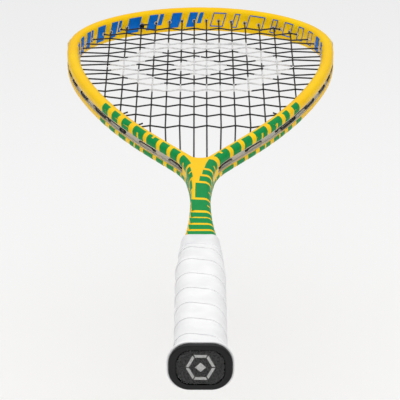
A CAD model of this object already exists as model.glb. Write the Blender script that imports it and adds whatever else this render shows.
import math
import bmesh
import bpy
import numpy as np
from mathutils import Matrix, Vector, noise
from mathutils.bvhtree import BVHTree


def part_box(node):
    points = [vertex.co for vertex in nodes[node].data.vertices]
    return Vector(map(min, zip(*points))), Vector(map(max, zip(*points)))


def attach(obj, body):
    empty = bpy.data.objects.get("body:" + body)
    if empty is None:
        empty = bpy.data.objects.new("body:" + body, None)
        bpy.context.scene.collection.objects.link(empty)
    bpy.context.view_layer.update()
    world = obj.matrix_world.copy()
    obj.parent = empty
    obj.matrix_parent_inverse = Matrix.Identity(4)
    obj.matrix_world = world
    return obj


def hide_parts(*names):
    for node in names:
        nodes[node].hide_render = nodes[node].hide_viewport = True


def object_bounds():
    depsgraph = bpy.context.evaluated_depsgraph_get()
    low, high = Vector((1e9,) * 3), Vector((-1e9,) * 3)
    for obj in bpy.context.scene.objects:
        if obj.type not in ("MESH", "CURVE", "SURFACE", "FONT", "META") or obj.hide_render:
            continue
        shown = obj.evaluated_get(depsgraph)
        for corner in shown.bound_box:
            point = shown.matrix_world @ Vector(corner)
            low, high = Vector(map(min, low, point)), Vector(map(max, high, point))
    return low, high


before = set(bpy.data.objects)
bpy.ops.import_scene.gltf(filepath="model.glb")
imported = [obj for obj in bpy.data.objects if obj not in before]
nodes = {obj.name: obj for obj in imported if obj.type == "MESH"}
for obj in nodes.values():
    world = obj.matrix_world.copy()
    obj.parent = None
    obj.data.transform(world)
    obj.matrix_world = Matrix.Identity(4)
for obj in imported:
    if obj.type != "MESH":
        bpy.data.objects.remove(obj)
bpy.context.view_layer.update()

mm = 0.001
print("frame loaded:", len(nodes), "nodes")


# camera behind and above the butt, looking along the racket
camera = {"place": (-0.29, -1203.6, 574.3), "tilt": 68.608, "lens": 209.98}

cameraData = bpy.data.cameras.new("studioCamera")
cameraData.lens = camera["lens"]
cameraData.sensor_width = 36
cameraData.clip_start = 0.05
cameraObject = bpy.data.objects.new("studioCamera", cameraData)
cameraObject.location = [v * mm for v in camera["place"]]
cameraObject.rotation_euler = (math.radians(camera["tilt"]), 0, 0)
bpy.context.scene.collection.objects.link(cameraObject)
bpy.context.scene.camera = cameraObject


def toLinear(hexColour):
    # sRGB hex to the linear values that the shaders take
    parts = [int(hexColour[n:n + 2], 16) / 255 for n in (1, 3, 5)]
    return [p / 12.92 if p <= 0.04045 else ((p + 0.055) / 1.055) ** 2.4 for p in parts] + [1.0]


def addNode(tree, kind, inputs=None, **settings):
    # inputs holds a value, or another node's output, for each socket by name or number
    made = tree.nodes.new("ShaderNode" + kind)
    for name, value in settings.items():
        setattr(made, name, value)
    for name, value in (inputs or {}).items():
        if isinstance(value, bpy.types.NodeSocket):
            tree.links.new(value, made.inputs[name])
        else:
            made.inputs[name].default_value = value
    return made


def newMaterial(name, colour, surface):
    made = bpy.data.materials.new(name)
    made.use_nodes = True
    tree = made.node_tree
    tree.nodes.clear()
    shader = addNode(tree, "BsdfPrincipled", {"Base Color": toLinear(colour), **surface})
    addNode(tree, "OutputMaterial", {"Surface": shader.outputs[0]})
    place = addNode(tree, "TexCoord").outputs["Object"]
    return made, tree, shader, place


def mottle(tree, shader, place, colours, grain, spread=(0.35, 0.65), detail=3.0):
    # lets the colour drift between two shades over patches of this size in mm
    patches = addNode(tree, "TexNoise", {"Vector": place, "Scale": 1 / (grain * mm), "Detail": detail})
    ramp = addNode(tree, "ValToRGB", {"Fac": patches.outputs["Fac"]})
    for stop, where, colour in zip(ramp.color_ramp.elements, spread, colours):
        stop.position = where
        stop.color = toLinear(colour)
    tree.links.new(ramp.outputs["Color"], shader.inputs["Base Color"])
    return patches


def relief(tree, shader, height, strength, depth):
    # depth is the height of the bumps in mm
    bump = addNode(tree, "Bump", {"Height": height, "Strength": strength, "Distance": depth * mm})
    tree.links.new(bump.outputs["Normal"], shader.inputs["Normal"])
    return bump


# two-pack lacquer sprayed over carbon fibre: even colour, a soft gloss and a trace of orange peel
lacquer = {
    "yellow": ("#FFD200", "#FEC800"), "drift": 30, "peel": 1.6, "peelDepth": 0.012,
    "gloss": {"Roughness": 0.4, "IOR": 1.45, "Specular IOR Level": 0.15},
}


def lacqueredCarbon():
    made, tree, shader, place = newMaterial("lacqueredCarbon", lacquer["yellow"][0], lacquer["gloss"])
    mottle(tree, shader, place, lacquer["yellow"], lacquer["drift"])
    peel = addNode(tree, "TexNoise", {"Vector": place, "Scale": 1 / (lacquer["peel"] * mm), "Detail": 1.0})
    relief(tree, shader, peel.outputs["Fac"], 0.3, lacquer["peelDepth"])
    return made


# screen-printed ink under the clear coat: flat colour with a slight mottle where the ink lies thinner
ink = {
    "green": ("#008A40", "#00934A"), "blue": ("#0064C0", "#0072D2"), "grain": 2.2,
    "gloss": {"Roughness": 0.42, "IOR": 1.45, "Specular IOR Level": 0.12},
}


def printedInk(name, colours):
    made, tree, shader, place = newMaterial(name, colours[0], ink["gloss"])
    mottle(tree, shader, place, colours, ink["grain"], (0.3, 0.7), 4.0)
    return made


# injection-moulded natural nylon: milky and see-through, satin, with faint flow marks
nylon = {
    "tint": ("#EADBC2", "#D9D8CC"), "flow": 7, "mould": 0.8,
    "body": {"Roughness": 0.35, "IOR": 1.53, "Transmission Weight": 0.3},
}


def clearNylon():
    made, tree, shader, place = newMaterial("mouldedClearNylon", nylon["tint"][0], nylon["body"])
    mottle(tree, shader, place, nylon["tint"], nylon["flow"])
    grain = addNode(tree, "TexNoise", {"Vector": place, "Scale": 1 / (nylon["mould"] * mm)})
    relief(tree, shader, grain.outputs["Fac"], 0.25, 0.03)
    return made


# extruded nylon string, wrapped and waxed: black, with fine slanting wrap lines that catch the light
stringing = {
    "black": ("#0B0B0C", "#161617"), "wrap": 1.1, "wrapDepth": 0.05,
    "body": {"Roughness": 0.4, "IOR": 1.5, "Specular IOR Level": 0.35},
}


def stringNylon():
    made, tree, shader, place = newMaterial("wrappedStringNylon", stringing["black"][0], stringing["body"])
    mottle(tree, shader, place, stringing["black"], 5)
    # a diagonal wave of this scale repeats about every second wrap along a string
    wrapScale = 0.31 / (stringing["wrap"] * mm)
    lines = addNode(tree, "TexWave", {"Vector": place, "Scale": wrapScale, "Distortion": 1.0},
                    bands_direction="DIAGONAL")
    relief(tree, shader, lines.outputs["Fac"], 0.4, stringing["wrapDepth"])
    return made


# stencil ink dabbed on the strings: matt off-white, thin in places
stencil = {
    "white": ("#E4E4E4", "#C9C9CA"), "patch": 2.6,
    "proud": 0.05,    # mm that the ink stands on the string
    "centre": (0, 550), "half": (74, 61), "stroke": 17,    # hexagon ring in the middle of the bed
    "core": (25, 27),    # half width and half height of the lozenge inside it
    "body": {"Roughness": 0.7, "IOR": 1.45},
}


def stencilInk():
    made, tree, shader, place = newMaterial("dabbedStencilInk", stencil["white"][0], stencil["body"])
    dabs = mottle(tree, shader, place, stencil["white"], stencil["patch"])
    relief(tree, shader, dabs.outputs["Fac"], 0.3, 0.05)
    return made


# embossed polyurethane tape: soft white skin with a fine pebble grain
gripLook = {
    "white": ("#F6F6F6", "#EEEEEF"), "patch": 14,
    "pebble": 1.0,    # real grain is about 0.4 mm, drawn coarser so that it shows
    "pebbleDepth": 0.09,
    "skin": {"Roughness": 0.6, "IOR": 1.48, "Sheen Weight": 0.08, "Sheen Roughness": 0.5},
}


def gripPolyurethane():
    made, tree, shader, place = newMaterial("embossedPolyurethane", gripLook["white"][0], gripLook["skin"])
    mottle(tree, shader, place, gripLook["white"], gripLook["patch"])
    pebbles = addNode(tree, "TexVoronoi", {"Vector": place, "Scale": 1 / (gripLook["pebble"] * mm)},
                      feature="SMOOTH_F1")
    relief(tree, shader, pebbles.outputs["Distance"], 0.35, gripLook["pebbleDepth"])
    return made


# calendered vinyl tape: smoother and a little shinier than the grip, with stretch lines round it
bandLook = {"white": ("#F3F3F4", "#EAEAEC"), "stretch": 3.0, "skin": {"Roughness": 0.42, "IOR": 1.52}}


def bandVinyl():
    made, tree, shader, place = newMaterial("calenderedVinyl", bandLook["white"][0], bandLook["skin"])
    mottle(tree, shader, place, bandLook["white"], 9)
    along = addNode(tree, "Mapping", {"Vector": place, "Scale": (0.15, 1.0, 0.15)})
    lines = addNode(tree, "TexNoise", {"Vector": along.outputs[0], "Scale": 1 / (bandLook["stretch"] * mm)})
    relief(tree, shader, lines.outputs["Fac"], 0.3, 0.12)
    return made


# spark-eroded nylon moulding: black with a fine even grain and a dull shine
capLook = {
    "black": ("#09090A", "#101011"), "grain": 0.7,
    "body": {"Roughness": 0.42, "IOR": 1.5, "Specular IOR Level": 0.3},
}


def capNylon():
    made, tree, shader, place = newMaterial("sparkGrainNylon", capLook["black"][0], capLook["body"])
    mottle(tree, shader, place, capLook["black"], 6)
    grain = addNode(tree, "TexNoise", {"Vector": place, "Scale": 1 / (capLook["grain"] * mm)})
    relief(tree, shader, grain.outputs["Fac"], 0.3, 0.04)
    return made


# twill-weave carbon cloth: tows that shine brown-grey one way and go black the other
weave = {
    "tow": 2.3,    # mm across one tow, as a coarse cloth has
    "light": "#B9A798", "dark": "#0B0908",
    "cloth": {"Roughness": 0.35, "IOR": 1.5},
}


def carbonWeave():
    made, tree, shader, place = newMaterial("twillCarbonCloth", weave["dark"], weave["cloth"])
    parts = addNode(tree, "SeparateXYZ", {"Vector": place})
    across = addNode(tree, "Math", {0: parts.outputs["X"], 1: 1 / (weave["tow"] * mm)}, operation="MULTIPLY")
    up = addNode(tree, "Math", {0: parts.outputs["Z"], 1: 1 / (weave["tow"] * mm)}, operation="MULTIPLY")
    column = addNode(tree, "Math", {0: across.outputs[0]}, operation="FLOOR")
    row = addNode(tree, "Math", {0: up.outputs[0]}, operation="FLOOR")
    # a 2/2 twill: each row is the one below it, shifted by one tow
    stepped = addNode(tree, "Math", {0: column.outputs[0], 1: row.outputs[0]}, operation="ADD")
    phase = addNode(tree, "Math", {0: stepped.outputs[0], 1: 4.0}, operation="FLOORED_MODULO")
    warpOnTop = addNode(tree, "Math", {0: phase.outputs[0], 1: 1.5}, operation="LESS_THAN")
    acrossIn = addNode(tree, "Math", {0: across.outputs[0]}, operation="FRACT")
    upIn = addNode(tree, "Math", {0: up.outputs[0]}, operation="FRACT")
    crown = addNode(tree, "Mix", {0: warpOnTop.outputs[0], 2: upIn.outputs[0], 3: acrossIn.outputs[0]})
    rounded = addNode(tree, "Math", {0: crown.outputs[0], 1: math.pi}, operation="MULTIPLY")
    height = addNode(tree, "Math", {0: rounded.outputs[0]}, operation="SINE")
    lit = addNode(tree, "Math", {0: height.outputs[0], 1: warpOnTop.outputs[0]}, operation="MULTIPLY")
    ramp = addNode(tree, "ValToRGB", {"Fac": lit.outputs[0]})
    ramp.color_ramp.elements[0].color = toLinear(weave["dark"])
    ramp.color_ramp.elements[1].color = toLinear(weave["light"])
    tree.links.new(ramp.outputs["Color"], shader.inputs["Base Color"])
    relief(tree, shader, height.outputs[0], 0.7, 0.25)
    return made


# cast polyurethane resin: clear, thick and glossy, with a faint ripple
resin = {"tint": ("#FFFFFF", "#F6F6F4"),
         "body": {"Roughness": 0.03, "IOR": 1.5, "Transmission Weight": 1.0}}


def domeResin():
    made, tree, shader, place = newMaterial("castClearResin", resin["tint"][0], resin["body"])
    mottle(tree, shader, place, resin["tint"], 12)
    ripple = addNode(tree, "TexNoise", {"Vector": place, "Scale": 1 / (9 * mm)})
    relief(tree, shader, ripple.outputs["Fac"], 0.15, 0.1)
    return made


# hot-stamped silver foil: pale, soft metallic shine, a little broken at the edges of each dab
foil = {"silver": ("#FAFAF8", "#E6E6E4"), "body": {"Roughness": 0.34, "Metallic": 0.1}}


def stampedFoil():
    made, tree, shader, place = newMaterial("hotStampedFoil", foil["silver"][0], foil["body"])
    dabs = mottle(tree, shader, place, foil["silver"], 1.5)
    relief(tree, shader, dabs.outputs["Fac"], 0.2, 0.03)
    return made


# expanded polyurethane, cut and skinned: tan or grey, open cells, no shine
foam = {
    "pallet": ("#C8B58C", "#B8A47A"), "plug": ("#55544F", "#454440"),
    "cell": 0.9, "body": {"Roughness": 0.92},
}


def cutFoam(name, colours):
    made, tree, shader, place = newMaterial(name, colours[0], foam["body"])
    mottle(tree, shader, place, colours, 6)
    cells = addNode(tree, "TexVoronoi", {"Vector": place, "Scale": 1 / (foam["cell"] * mm)})
    relief(tree, shader, cells.outputs["Distance"], 0.5, 0.2)
    return made


# drawn galvanised wire: grey steel with a dull zinc bloom
wire = {"zinc": ("#B9BBBD", "#9B9EA1"), "body": {"Roughness": 0.4, "Metallic": 1.0}}


def galvanisedWire():
    made, tree, shader, place = newMaterial("galvanisedWire", wire["zinc"][0], wire["body"])
    bloom = mottle(tree, shader, place, wire["zinc"], 1.2)
    relief(tree, shader, bloom.outputs["Fac"], 0.2, 0.02)
    return made


lacquerYellow = lacqueredCarbon()
inkGreen = printedInk("printedGreenInk", ink["green"])
inkBlue = printedInk("printedBlueInk", ink["blue"])
inkWhite = stencilInk()
stringBlack = stringNylon()
nylonClear = clearNylon()
gripWhite = gripPolyurethane()
bandWhite = bandVinyl()

nodeLooks = {
    "frame": lacquerYellow, "head_bumper": nylonClear,
    "grommet_strip_left": nylonClear, "grommet_strip_right": nylonClear,
    "main_string": stringBlack, "cross_string": stringBlack, "tie_off_knots": stringBlack,
    "butt_cap": capNylon(), "badge_plate": carbonWeave(), "badge_dome": domeResin(),
    "grip_wrap": gripWhite, "finishing_tape": bandWhite,
    "handle_pallet": cutFoam("skinnedPalletFoam", foam["pallet"]),
    "tube_end_plug": cutFoam("cutPlugFoam", foam["plug"]), "cap_staples": galvanisedWire(),
}
for nodeName, look in nodeLooks.items():
    slots = nodes[nodeName].material_slots
    for one in slots:
        one.material = look
print("materials made:", len(bpy.data.materials))


def surfaceOf(nodeName):
    # a CAD node's surface, for finding points on it
    mesh = nodes[nodeName].data
    return BVHTree.FromPolygons([v.co for v in mesh.vertices], [p.vertices for p in mesh.polygons])


def newPiece(name, verts, faces, material, smooth=True):
    mesh = bpy.data.meshes.new(name)
    mesh.from_pydata([tuple(v) for v in verts], [], faces)
    mesh.validate()
    mesh.materials.append(material)
    if smooth:
        mesh.polygons.foreach_set("use_smooth", [True] * len(mesh.polygons))
    made = bpy.data.objects.new(name, mesh)
    bpy.context.scene.collection.objects.link(made)
    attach(made, "root")
    return made


def turnOutwards(made):
    bm = bmesh.new()
    bm.from_mesh(made.data)
    bmesh.ops.recalc_face_normals(bm, faces=bm.faces)
    bm.to_mesh(made.data)
    bm.free()


def hexagon(wide, tall):
    # pointed to the left and the right
    half = wide * 0.5
    return [(wide, 0), (half, tall), (-half, tall), (-wide, 0), (-half, -tall), (half, -tall)]


def ringFaces(columns, count):
    # faces between closed sections of count points each, all the way round
    faces = []
    for column in range(columns):
        here, after = column * count, (column + 1) % columns * count
        for n in range(count):
            up = (n + 1) % count
            faces.append((here + n, here + up, after + up, after + n))
    return faces


# outline of the frame, followed up its right side from the top of the grip to the tip
section = {
    "halfWidth": 4.6, "outerRound": 4.1, "innerRound": 3.9,
    "depths": ((0, 9.4), (330, 8.4), (686, 9.9)),    # (Y, half depth), joined by one arc
    "groove": 2.9,    # half width of the groove for the strip, with a little to spare
}
track = {"foot": 178, "turnAt": 560, "level": 4.0, "step": 1.0, "smooth": 6}

frameSurface = surfaceOf("frame")


def outlinePoint(origin, way):
    found = frameSurface.ray_cast(Vector(origin) * mm, Vector(way))[0]
    return np.array(found[:2]) / mm


def followOutline():
    # points on the outer wall, evenly spaced, with the way out of the frame at each
    points = []
    for y in np.arange(track["foot"], track["turnAt"], track["step"]):
        points.append(outlinePoint((300, y, track["level"]), (-1, 0, 0)))
    for angle in np.radians(np.arange(0, 90.01, 0.5)):
        way = Vector((math.cos(angle), math.sin(angle), 0))
        start = Vector((0, track["turnAt"], track["level"])) + way * 300
        points.append(outlinePoint(start, -way))
    points = np.array(points)
    reach = np.concatenate([[0], np.cumsum(np.linalg.norm(np.diff(points, axis=0), axis=1))])
    even = np.arange(0, reach[-1], track["step"])
    points = np.array([np.interp(even, reach, points[:, n]) for n in (0, 1)]).T
    gap = track["smooth"]
    padded = np.concatenate([points, [[-x, y] for x, y in points[:-gap - 1:-1]]])
    along = padded[gap:] - padded[np.maximum(np.arange(len(padded) - gap) - gap, 0)]
    along = along[:len(points)]
    along /= np.linalg.norm(along, axis=1)[:, None]
    out = np.array([along[:, 1], -along[:, 0]]).T
    return even, points, out


reachList, outlineList, outList = followOutline()
tipReach = reachList[-1]
depthCurve = np.polyfit(*zip(*section["depths"]), 2)
print("outline followed, mm:", round(tipReach))


def onFrame(reach, offset, z, side, lift=0.0, slope=(0, 1)):
    # offset is measured outwards from the middle of the tube's wall-to-wall width
    if reach > tipReach:
        reach, side = 2 * tipReach - reach, -side
    place = [np.interp(reach, reachList, outlineList[:, n]) for n in (0, 1)]
    out = [np.interp(reach, reachList, outList[:, n]) for n in (0, 1)]
    shift = offset - section["halfWidth"] + lift * slope[0]
    x, y = place[0] + out[0] * shift, place[1] + out[1] * shift
    return (side * x * mm, y * mm, (z + lift * slope[1]) * mm)


def halfDepthAt(reach):
    return float(np.polyval(depthCurve, np.interp(min(reach, tipReach), reachList, outlineList[:, 1])))


def overOuterEdge(reach, around, side, face, lift):
    # around runs from the middle of a broad face outwards, over the rounded edge and down the wall
    depth, bend = halfDepthAt(reach), section["outerRound"]
    flat = section["halfWidth"] - bend
    arc = bend * math.pi / 2
    if around < flat:
        offset, z, slope = around, depth, (0, 1)
    elif around < flat + arc:
        angle = (around - flat) / bend
        slope = (math.sin(angle), math.cos(angle))
        offset, z = flat + bend * slope[0], depth - bend + bend * slope[1]
    else:
        offset, z, slope = section["halfWidth"], depth - bend - (around - flat - arc), (1, 0)
    return onFrame(reach, offset, face * z, side, lift, (slope[0], face * slope[1]))


def onInnerWall(reach, z, side, lift):
    # the wall that faces the strings; past its flat part it rounds over to the broad face
    depth, bend = halfDepthAt(reach), section["innerRound"]
    past = abs(z) - (depth - bend)
    if past <= 0:
        return onFrame(reach, -section["halfWidth"], z, side, lift, (-1, 0))
    rise = min(past / bend, 1)
    level = math.sqrt(1 - rise * rise)
    offset = -(section["halfWidth"] - bend) - bend * level
    return onFrame(reach, offset, z, side, lift, (-level, math.copysign(rise, z)))


def cutUp(outline, cell):
    # a flat outline cut into cells of this size, so that it can bend onto the frame
    bm = bmesh.new()
    bm.faces.new([bm.verts.new((x, y, 0)) for x, y in outline])
    bmesh.ops.triangulate(bm, faces=bm.faces)
    for axis, size in enumerate(cell):
        values = [v.co[axis] for v in bm.verts]
        for cut in np.arange(math.ceil(min(values) / size) * size, max(values), size):
            where, normal = [0, 0, 0], [0, 0, 0]
            where[axis], normal[axis] = cut, 1
            bmesh.ops.bisect_plane(bm, geom=bm.verts[:] + bm.edges[:] + bm.faces[:], dist=1e-5,
                                   plane_co=where, plane_no=normal)
    bmesh.ops.dissolve_degenerate(bm, edges=bm.edges, dist=1e-4)
    bm.verts.index_update()
    flat = [tuple(v.co[:2]) for v in bm.verts]
    faces = [[v.index for v in f.verts] for f in bm.faces]
    edges = [(e.verts[0].index, e.verts[1].index) for e in bm.edges if len(e.link_faces) == 1]
    rims = []
    for face in bm.faces:
        loop = [v.index for v in face.verts]
        for a, b in zip(loop, loop[1:] + loop[:1]):
            if (a, b) in edges or (b, a) in edges:
                rims.append((a, b))
    bm.free()
    return flat, faces, rims


def decal(name, outlines, toFrame, material, cell, lifts):
    # thin closed skins: the outer face stands proud, the inner one lies in the lacquer
    verts, faces = [], []
    for outline in outlines:
        flat, cells, rims = cutUp(outline, cell)
        start, count = len(verts), len(flat)
        for lift in lifts:
            verts += [toFrame(x, y, lift) for x, y in flat]
        faces += [[start + n for n in f] for f in cells]
        faces += [[start + count + n for n in reversed(f)] for f in cells]
        faces += [[start + b, start + a, start + count + a, start + count + b] for a, b in rims]
    made = newPiece(name, verts, faces, material, smooth=False)
    turnOutwards(made)
    return made


# green blocks up the shaft and along both arms, as (start, end, inner edge, cut) in mm
# start and end run along the outline from the top of the grip; cut says where a block has a slit
greenPrint = {
    "lean": -2.6,    # how far the outer end of a block lags behind its inner end
    "slit": 2.4,
    "proud": 0.07, "sunk": -0.12, "cell": (2.5, 1.2),
    "right": [
        (3, 10, -14.2, "bar"), (13, 20.5, -12.2, "bar"), (23.5, 32, -10.6, "bar"), (34, 41.5, -9.5, "bar"),
        (45.5, 64.5, -8.4, "slitOut"), (68, 95, -5.6, "slitOut"), (98.5, 107.5, -3.4, "bar"),
        (111, 119.5, -2.4, "bar"), (123, 140, -2.0, "slitOut"), (146, 163, -0.8, "slitIn"),
        (168, 179, -0.2, "bar"), (184, 195, 0.0, "bar"), (201, 218, 0.0, "slitOut"),
        (224, 243, 0.0, "slitOut"), (249, 257, 0.6, "bar"), (266, 277, 0.8, "bar"),
    ],
    "left": [
        (44, 62, 5.6, "bar"), (66, 84, 4.6, "bar"), (88, 104, 3.6, "slitOut"), (108, 127, 2.0, "slitIn"),
        (132, 149, 0.4, "slitOut"), (154, 164, 0.0, "bar"), (169, 179, 0.0, "bar"), (184, 198, 0.0, "slitIn"),
        (203, 219, 0.0, "slitOut"), (226, 238, 0.4, "bar"), (245, 256, 0.6, "bar"), (264, 275, 0.8, "bar"),
    ],
    "under": 5.0,    # the blocks below the groove are shifted along by this much
}
grooveStart = 134    # where the groove in the outer wall begins, along the outline


def blockOutlines(start, end, inner, cut, outer):
    # one block as one or more plain outlines; a notch leaves a slot open to one edge
    lean = greenPrint["lean"]

    def strip(low, high, near, far):
        slope = lean / (outer - inner)
        return [(low + slope * (near - inner), near), (high + slope * (near - inner), near),
                (high + slope * (far - inner), far), (low + slope * (far - inner), far)]

    if cut == "bar":
        return [strip(start, end, inner, outer)]
    # the slit is thin and runs less than half way in, from the outer or the inner edge
    middle, slit = start + (end - start) * 0.46, greenPrint["slit"]
    web = outer - (outer - inner) * 0.45 if cut == "slitOut" else inner + (outer - inner) * 0.3
    legs = (web, outer) if cut == "slitOut" else (inner, web)
    joined = (inner, web) if cut == "slitOut" else (web, outer)
    return [strip(start, end, *joined), strip(start, middle, *legs), strip(middle + slit, end, *legs)]


def wallReach(start):
    # how far around a block may run: down to the groove, or half way round where there is none
    depth, bend = halfDepthAt(start), section["outerRound"]
    whole = section["halfWidth"] - bend + bend * math.pi / 2 + depth - bend
    return whole - (section["groove"] if start > grooveStart else 0.4)


for sideName, side in (("right", 1), ("left", -1)):
    for faceName, face in (("upper", 1), ("lower", -1)):
        outlines = []
        for start, end, inner, cut in greenPrint[sideName]:
            shift = 0 if face == 1 else greenPrint["under"]
            outlines += blockOutlines(start + shift, end + shift, inner, cut, wallReach(end))
        decal(f"green_print_{faceName}_{sideName}", outlines,
              lambda reach, around, lift: overOuterEdge(reach, around, side, face, lift),
              inkGreen, greenPrint["cell"], (greenPrint["proud"], greenPrint["sunk"]))
print("green print laid on the shaft and arms")


# blue blocks on the wall inside the head, as (start, end) in mm from the tip, right positive
bluePrint = {
    "low": -5.4, "high": 7.2, "proud": 0.2, "sunk": -0.1, "cell": (2.0, 2.0), "line": 0.75, "slant": 4.0,
    "slit": 1.6,
    "solid": [
        (-13, 3, 2), (-29, -16, 1), (-51, -33, 2), (-72, -55, 1), (-92, -76, 2), (-111, -96, 1),
        (-131, -115, 2), (-150, -135, 1), (-168, -154, 2), (131, 145, 1), (149, 163, 2),
    ],    # the third number is how many bars the block is cut into
    "outlined": [(8, 24), (28, 37), (42, 62), (66, 76), (80, 94), (98, 110), (114, 126)],
}


def slanted(left, right, low, high):
    # a block whose ends lean over to the right
    lean = bluePrint["slant"] / (bluePrint["high"] - bluePrint["low"])
    rise, top = lean * (low - bluePrint["low"]), lean * (high - bluePrint["low"])
    return [(left + rise, low), (right + rise, low), (right + top, high), (left + top, high)]


def blueOutlines(start, end, bars):
    low, high, slit = bluePrint["low"], bluePrint["high"], bluePrint["slit"]
    end -= bluePrint["slant"]
    if bars == 1:
        return [slanted(start, end, low, high)]
    middle = start + (end - start) * 0.62
    return [slanted(start, middle, low, high), slanted(middle + slit, end, low + (high - low) * 0.25, high)]


def frameOutlines(start, end):
    # a hollow block: four thin strips round its edge
    low, high, line = bluePrint["low"] + 0.4, bluePrint["high"], bluePrint["line"]
    end -= bluePrint["slant"]
    corners = slanted(start, end, low, high)
    inside = slanted(start + line * 1.2, end - line * 1.2, low + line, high - line)
    return [[corners[n], corners[(n + 1) % 4], inside[(n + 1) % 4], inside[n]] for n in range(4)]


def toInnerWall(fromTip, z, lift):
    return onInnerWall(tipReach - abs(fromTip), z, 1 if fromTip >= 0 else -1, lift)


blueLifts = (bluePrint["proud"], bluePrint["sunk"])
solidOutlines = [o for block in bluePrint["solid"] for o in blueOutlines(*block)]
thinOutlines = [o for block in bluePrint["outlined"] for o in frameOutlines(*block)]
decal("blue_print_solid", solidOutlines, toInnerWall, inkBlue, bluePrint["cell"], blueLifts)
decal("blue_print_outlined", thinOutlines, toInnerWall, inkBlue, bluePrint["cell"], blueLifts)
print("blue print laid inside the head")


def stencilShapes():
    # a hexagon ring as six flat pieces, and a lozenge in its middle
    cx, cy = stencil["centre"]
    wide, tall = stencil["half"]
    stroke = stencil["stroke"]
    outer = hexagon(wide, tall)
    share = 1 - stroke / tall
    inner = [(x * share, y * share) for x, y in outer]
    shapes = [[outer[n], outer[(n + 1) % 6], inner[(n + 1) % 6], inner[n]] for n in range(6)]
    coreWide, coreTall = stencil["core"]
    shapes.append([(coreWide, 0), (0, coreTall), (-coreWide, 0), (0, -coreTall)])
    return [[(x + cx, y + cy) for x, y in shape] for shape in shapes]


def inkSleeves(name, nodeName):
    # the stretches of string inside the stencil, swollen a little and closed at their ends
    whole = bmesh.new()
    source = nodes[nodeName].data
    parts = bmesh.new()
    for shape in stencilShapes():
        whole.from_mesh(source)
        for a, b in zip(shape, shape[1:] + shape[:1]):
            normal = Vector((b[1] - a[1], a[0] - b[0], 0)).normalized()
            bmesh.ops.bisect_plane(whole, geom=whole.verts[:] + whole.edges[:] + whole.faces[:], dist=1e-7,
                                   plane_co=(a[0] * mm, a[1] * mm, 0), plane_no=normal, clear_outer=True)
        bmesh.ops.remove_doubles(whole, verts=whole.verts, dist=1e-6)
        bmesh.ops.holes_fill(whole, edges=whole.edges, sides=0)
        whole.normal_update()
        for vert in whole.verts:
            vert.co += vert.normal * stencil["proud"] * mm
        piece = bpy.data.meshes.new("cut")
        whole.to_mesh(piece)
        parts.from_mesh(piece)
        bpy.data.meshes.remove(piece)
        whole.clear()
    mesh = bpy.data.meshes.new(name)
    parts.to_mesh(mesh)
    whole.free()
    parts.free()
    mesh.materials.clear()
    mesh.materials.append(inkWhite)
    mesh.polygons.foreach_set("material_index", [0] * len(mesh.polygons))
    mesh.polygons.foreach_set("use_smooth", [True] * len(mesh.polygons))
    made = bpy.data.objects.new(name, mesh)
    bpy.context.scene.collection.objects.link(made)
    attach(made, "root")
    return made


for nodeName in ("main_string", "cross_string"):
    sleeves = inkSleeves("stencil_ink_" + nodeName.split("_")[0], nodeName)
    print("stencil ink on", nodeName, len(sleeves.data.polygons), "faces")


# grip tape wound up the handle, each turn lapping over the one before
winding = {
    "pitch": 22.3, "seamAt": 128.0,    # mm between turns, and where one lower edge crosses the top
    "low": 3.0, "high": 163.0, "columns": 120,    # the wound turns are cut off square at low and high
    # the tape's section across its width: (mm from the lower edge, mm above the CAD surface)
    "profile": [(0.45, -0.5), (0.1, -0.25), (0.0, -0.02), (0.1, 0.2), (0.35, 0.3), (1.1, 0.3), (2.6, 0.16),
                (4.5, 0.02), (7.0, -0.07), (11.0, -0.1), (16.0, -0.12), (20.0, -0.2), (22.3, -0.36), (24.0, -0.5),
                (24.0, -0.9), (12.0, -0.9), (0.35, -0.9)],
    "collar": [(2.68, -1.3), (2.68, -0.1), (2.85, 0.1), (3.3, 0.2), (6.0, 0.17), (9.0, 0.12), (12.0, 0.06),
               (14.0, -0.05), (14.6, -0.4), (14.6, -1.3)],    # mm along the handle, mm above the CAD surface
}
wrapSurface = surfaceOf("grip_wrap")
wrapLow, wrapHigh = (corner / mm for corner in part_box("grip_wrap"))


def wrapRadius(y, angle):
    # how far the CAD grip's surface stands from the axis; angle runs from the top towards +X
    way = Vector((math.sin(angle), 0, math.cos(angle)))
    start = Vector((0, y, 0)) * mm + way * 60 * mm
    found = wrapSurface.ray_cast(start, -way)[0]
    return math.hypot(found.x, found.z) / mm


radiusRows = np.arange(wrapLow.y + 0.1, wrapHigh.y - 0.1, 1.0)
radiusTable = np.array([[wrapRadius(y, 2 * math.pi * n / winding["columns"]) for y in radiusRows]
                        for n in range(winding["columns"])])


def tapePoint(y, column, height):
    angle = 2 * math.pi * column / winding["columns"]
    # a hand-wound tape is never quite even
    wobble = noise.noise(Vector((math.sin(angle) * 1.3, y / 17, math.cos(angle) * 1.3))) * 0.09
    radius = np.interp(y, radiusRows, radiusTable[column % winding["columns"]]) + height + wobble
    return (radius * math.sin(angle) * mm, y * mm, radius * math.cos(angle) * mm)


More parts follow.
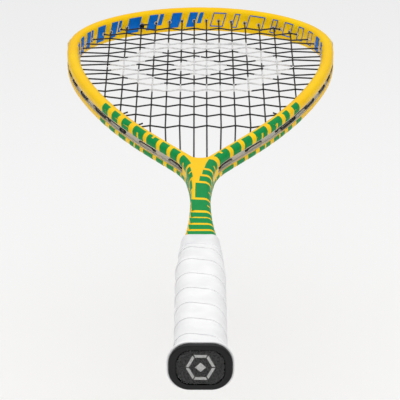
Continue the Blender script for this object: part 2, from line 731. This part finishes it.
def windTape():
    columns, pitch, profile = winding["columns"], winding["pitch"], winding["profile"]
    first = math.floor((winding["low"] - winding["seamAt"]) / pitch) - 1
    last = math.ceil((winding["high"] - winding["seamAt"]) / pitch) + 1
    verts, faces = [], []
    steps = (last - first) * columns
    for step in range(steps + 1):
        # going round towards +X the tape climbs back towards the butt
        edge = winding["seamAt"] + pitch * last - pitch * step / columns
        for across, height in profile:
            verts.append(tapePoint(edge + across, step, height))
    count = len(profile)
    for step in range(steps):
        for n in range(count):
            a, b = step * count + n, step * count + (n + 1) % count
            faces.append((a, b, b + count, a + count))
    faces += [list(range(count))[::-1], [steps * count + n for n in range(count)]]
    made = newPiece("wound_grip_tape", verts, faces, gripWhite)
    bm = bmesh.new()
    bm.from_mesh(made.data)
    bmesh.ops.remove_doubles(bm, verts=bm.verts, dist=2e-6)
    for level, way in ((winding["low"], -1), (winding["high"], 1)):
        whole = bm.verts[:] + bm.edges[:] + bm.faces[:]
        bmesh.ops.bisect_plane(bm, geom=whole, plane_co=(0, level * mm, 0), plane_no=(0, way, 0),
                               clear_outer=True)
        bmesh.ops.holes_fill(bm, edges=[edge for edge in bm.edges if edge.is_boundary], sides=0)
    bmesh.ops.recalc_face_normals(bm, faces=bm.faces)
    bm.to_mesh(made.data)
    bm.free()
    return made


def windCollar():
    # the first lap goes straight round the flared end, under the wound turns
    columns, profile = winding["columns"], winding["collar"]
    verts = [tapePoint(y, column, height) for column in range(columns) for y, height in profile]
    made = newPiece("first_lap_of_tape", verts, ringFaces(columns, len(profile)), gripWhite)
    turnOutwards(made)


gripTape = windTape()
windCollar()
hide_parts("grip_wrap")
print("grip tape wound:", len(gripTape.data.polygons), "faces")


# finishing band: two laps of stretched tape with a lifted lower edge and slight creases
band = {
    "rows": [(0.0, -0.5), (0.0, -0.05), (0.15, 0.1), (0.6, 0.14), (2.0, 0.1), (5.0, 0.06), (8.0, 0.02),
             (11.0, 0.0), (14.0, 0.02), (17.0, 0.05), (19.0, 0.06), (19.7, 0.02), (20.0, -0.2), (20.0, -0.6)],
    "columns": 96, "crease": 0.12, "slant": 1.2,
}
bandSurface = surfaceOf("finishing_tape")
bandLow, bandHigh = (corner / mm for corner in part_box("finishing_tape"))


def bandPoint(rise, column, height):
    angle = 2 * math.pi * column / band["columns"]
    y = bandLow.y + rise
    way = Vector((math.sin(angle), 0, math.cos(angle)))
    inside = min(max(y, bandLow.y + 0.1), bandHigh.y - 0.1)
    start = Vector((0, inside, 0)) * mm + way * 60 * mm
    found = bandSurface.ray_cast(start, -way)[0]
    crease = noise.noise(Vector((math.sin(angle) * 2.2, y / 5, math.cos(angle) * 2.2))) * band["crease"]
    radius = math.hypot(found.x, found.z) / mm + height + crease
    slanted = y + band["slant"] * math.sin(angle) * (1 - rise / 20) * -0.5
    return (radius * way.x * mm, slanted * mm, radius * way.z * mm)


def makeBand():
    rows, columns = band["rows"], band["columns"]
    inner = [(rise, -1.2) for rise, _ in reversed(rows[1:-1:3])]
    ring = rows + inner
    verts = [bandPoint(rise, column, height) for column in range(columns) for rise, height in ring]
    made = newPiece("finishing_band", verts, ringFaces(columns, len(ring)), bandWhite)
    turnOutwards(made)
    return made


finishingBand = makeBand()
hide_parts("finishing_tape")
print("finishing band made")


# silver mark on the badge: a hexagon ring round a lozenge, cast into the resin
mark = {"half": (8.6, 7.8), "stroke": 1.7, "core": (3.2, 2.9), "gap": 0.05, "thick": 0.12, "clear": 0.02}


def makeMark():
    wide, tall = mark["half"]
    share = 1 - mark["stroke"] / tall
    outer = hexagon(wide, tall)
    coreWide, coreTall = mark["core"]
    shapes = []
    for n in range(6):
        a, b = outer[n], outer[(n + 1) % 6]
        a, b = [[p + (q - p) * mark["gap"] for p, q in zip(*ends)] for ends in ((a, b), (b, a))]
        shapes.append([a, b, [v * share for v in b], [v * share for v in a]])
    shapes.append([(coreWide, 0), (0, coreTall), (-coreWide, 0), (0, -coreTall)])
    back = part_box("badge_dome")[1].y / mm - mark["clear"]
    verts, faces = [], []
    for shape in shapes:
        start, count = len(verts), len(shape)
        for y in (back - mark["thick"], back):
            verts += [(x * mm, y * mm, z * mm) for x, z in shape]
        last = start + 2 * count
        faces += [list(range(start, start + count)), list(range(last - 1, start + count - 1, -1))]
        for n in range(count):
            a, b = start + n, start + (n + 1) % count
            faces.append([a + count, b + count, b, a])
    made = newPiece("badge_mark", verts, faces, stampedFoil(), smooth=False)
    turnOutwards(made)
    return made


makeMark()
print("badge mark made")


# pale floor below the racket, and soft white light from all round
studio = {
    "floorHalf": 9000, "drop": 260,    # the floor lies well below, so that its shadows stay faint
    "horizon": 0.3, "zenith": 1.25,    # brightness of the room low down and overhead
    "softbox": (0, -300, 1900), "softboxSize": 2200, "softboxPower": 19,
}


def makeFloor():
    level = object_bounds()[0].z - studio["drop"] * mm
    half = studio["floorHalf"] * mm
    mesh = bpy.data.meshes.new("studio_floor")
    mesh.from_pydata([(-half, -half, level), (half, -half, level), (half, half, level), (-half, half, level)],
                     [], [(0, 1, 2, 3)])
    made = bpy.data.objects.new("studio_floor", mesh)
    bpy.context.scene.collection.objects.link(made)
    # painted board: plain, matt and nearly white
    mesh.materials.append(newMaterial("paintedBoard", "#FBFBFB", {"Roughness": 0.95})[0])


def makeLights():
    world = bpy.data.worlds.new("softWhiteRoom")
    world.use_nodes = True
    tree = world.node_tree
    tree.nodes.clear()
    way = addNode(tree, "TexCoord").outputs["Generated"]
    up = addNode(tree, "SeparateXYZ", {"Vector": way}).outputs["Z"]
    glow = addNode(tree, "MapRange", {"Value": up, "To Min": studio["horizon"], "To Max": studio["zenith"]})
    sky = addNode(tree, "Background", {"Strength": glow.outputs[0]})
    addNode(tree, "OutputWorld", {"Surface": sky.outputs[0]})
    bpy.context.scene.world = world
    lampData = bpy.data.lights.new("softbox", "AREA")
    lampData.size = studio["softboxSize"] * mm
    lampData.energy = studio["softboxPower"]
    lamp = bpy.data.objects.new("softbox", lampData)
    lamp.location = [v * mm for v in studio["softbox"]]
    aim = Vector((0, 350, 0)) - Vector(studio["softbox"])
    lamp.rotation_euler = aim.to_track_quat("-Z", "Y").to_euler()
    bpy.context.scene.collection.objects.link(lamp)


makeFloor()
makeLights()
bpy.context.scene.view_settings.view_transform = "Standard"
print("studio set")
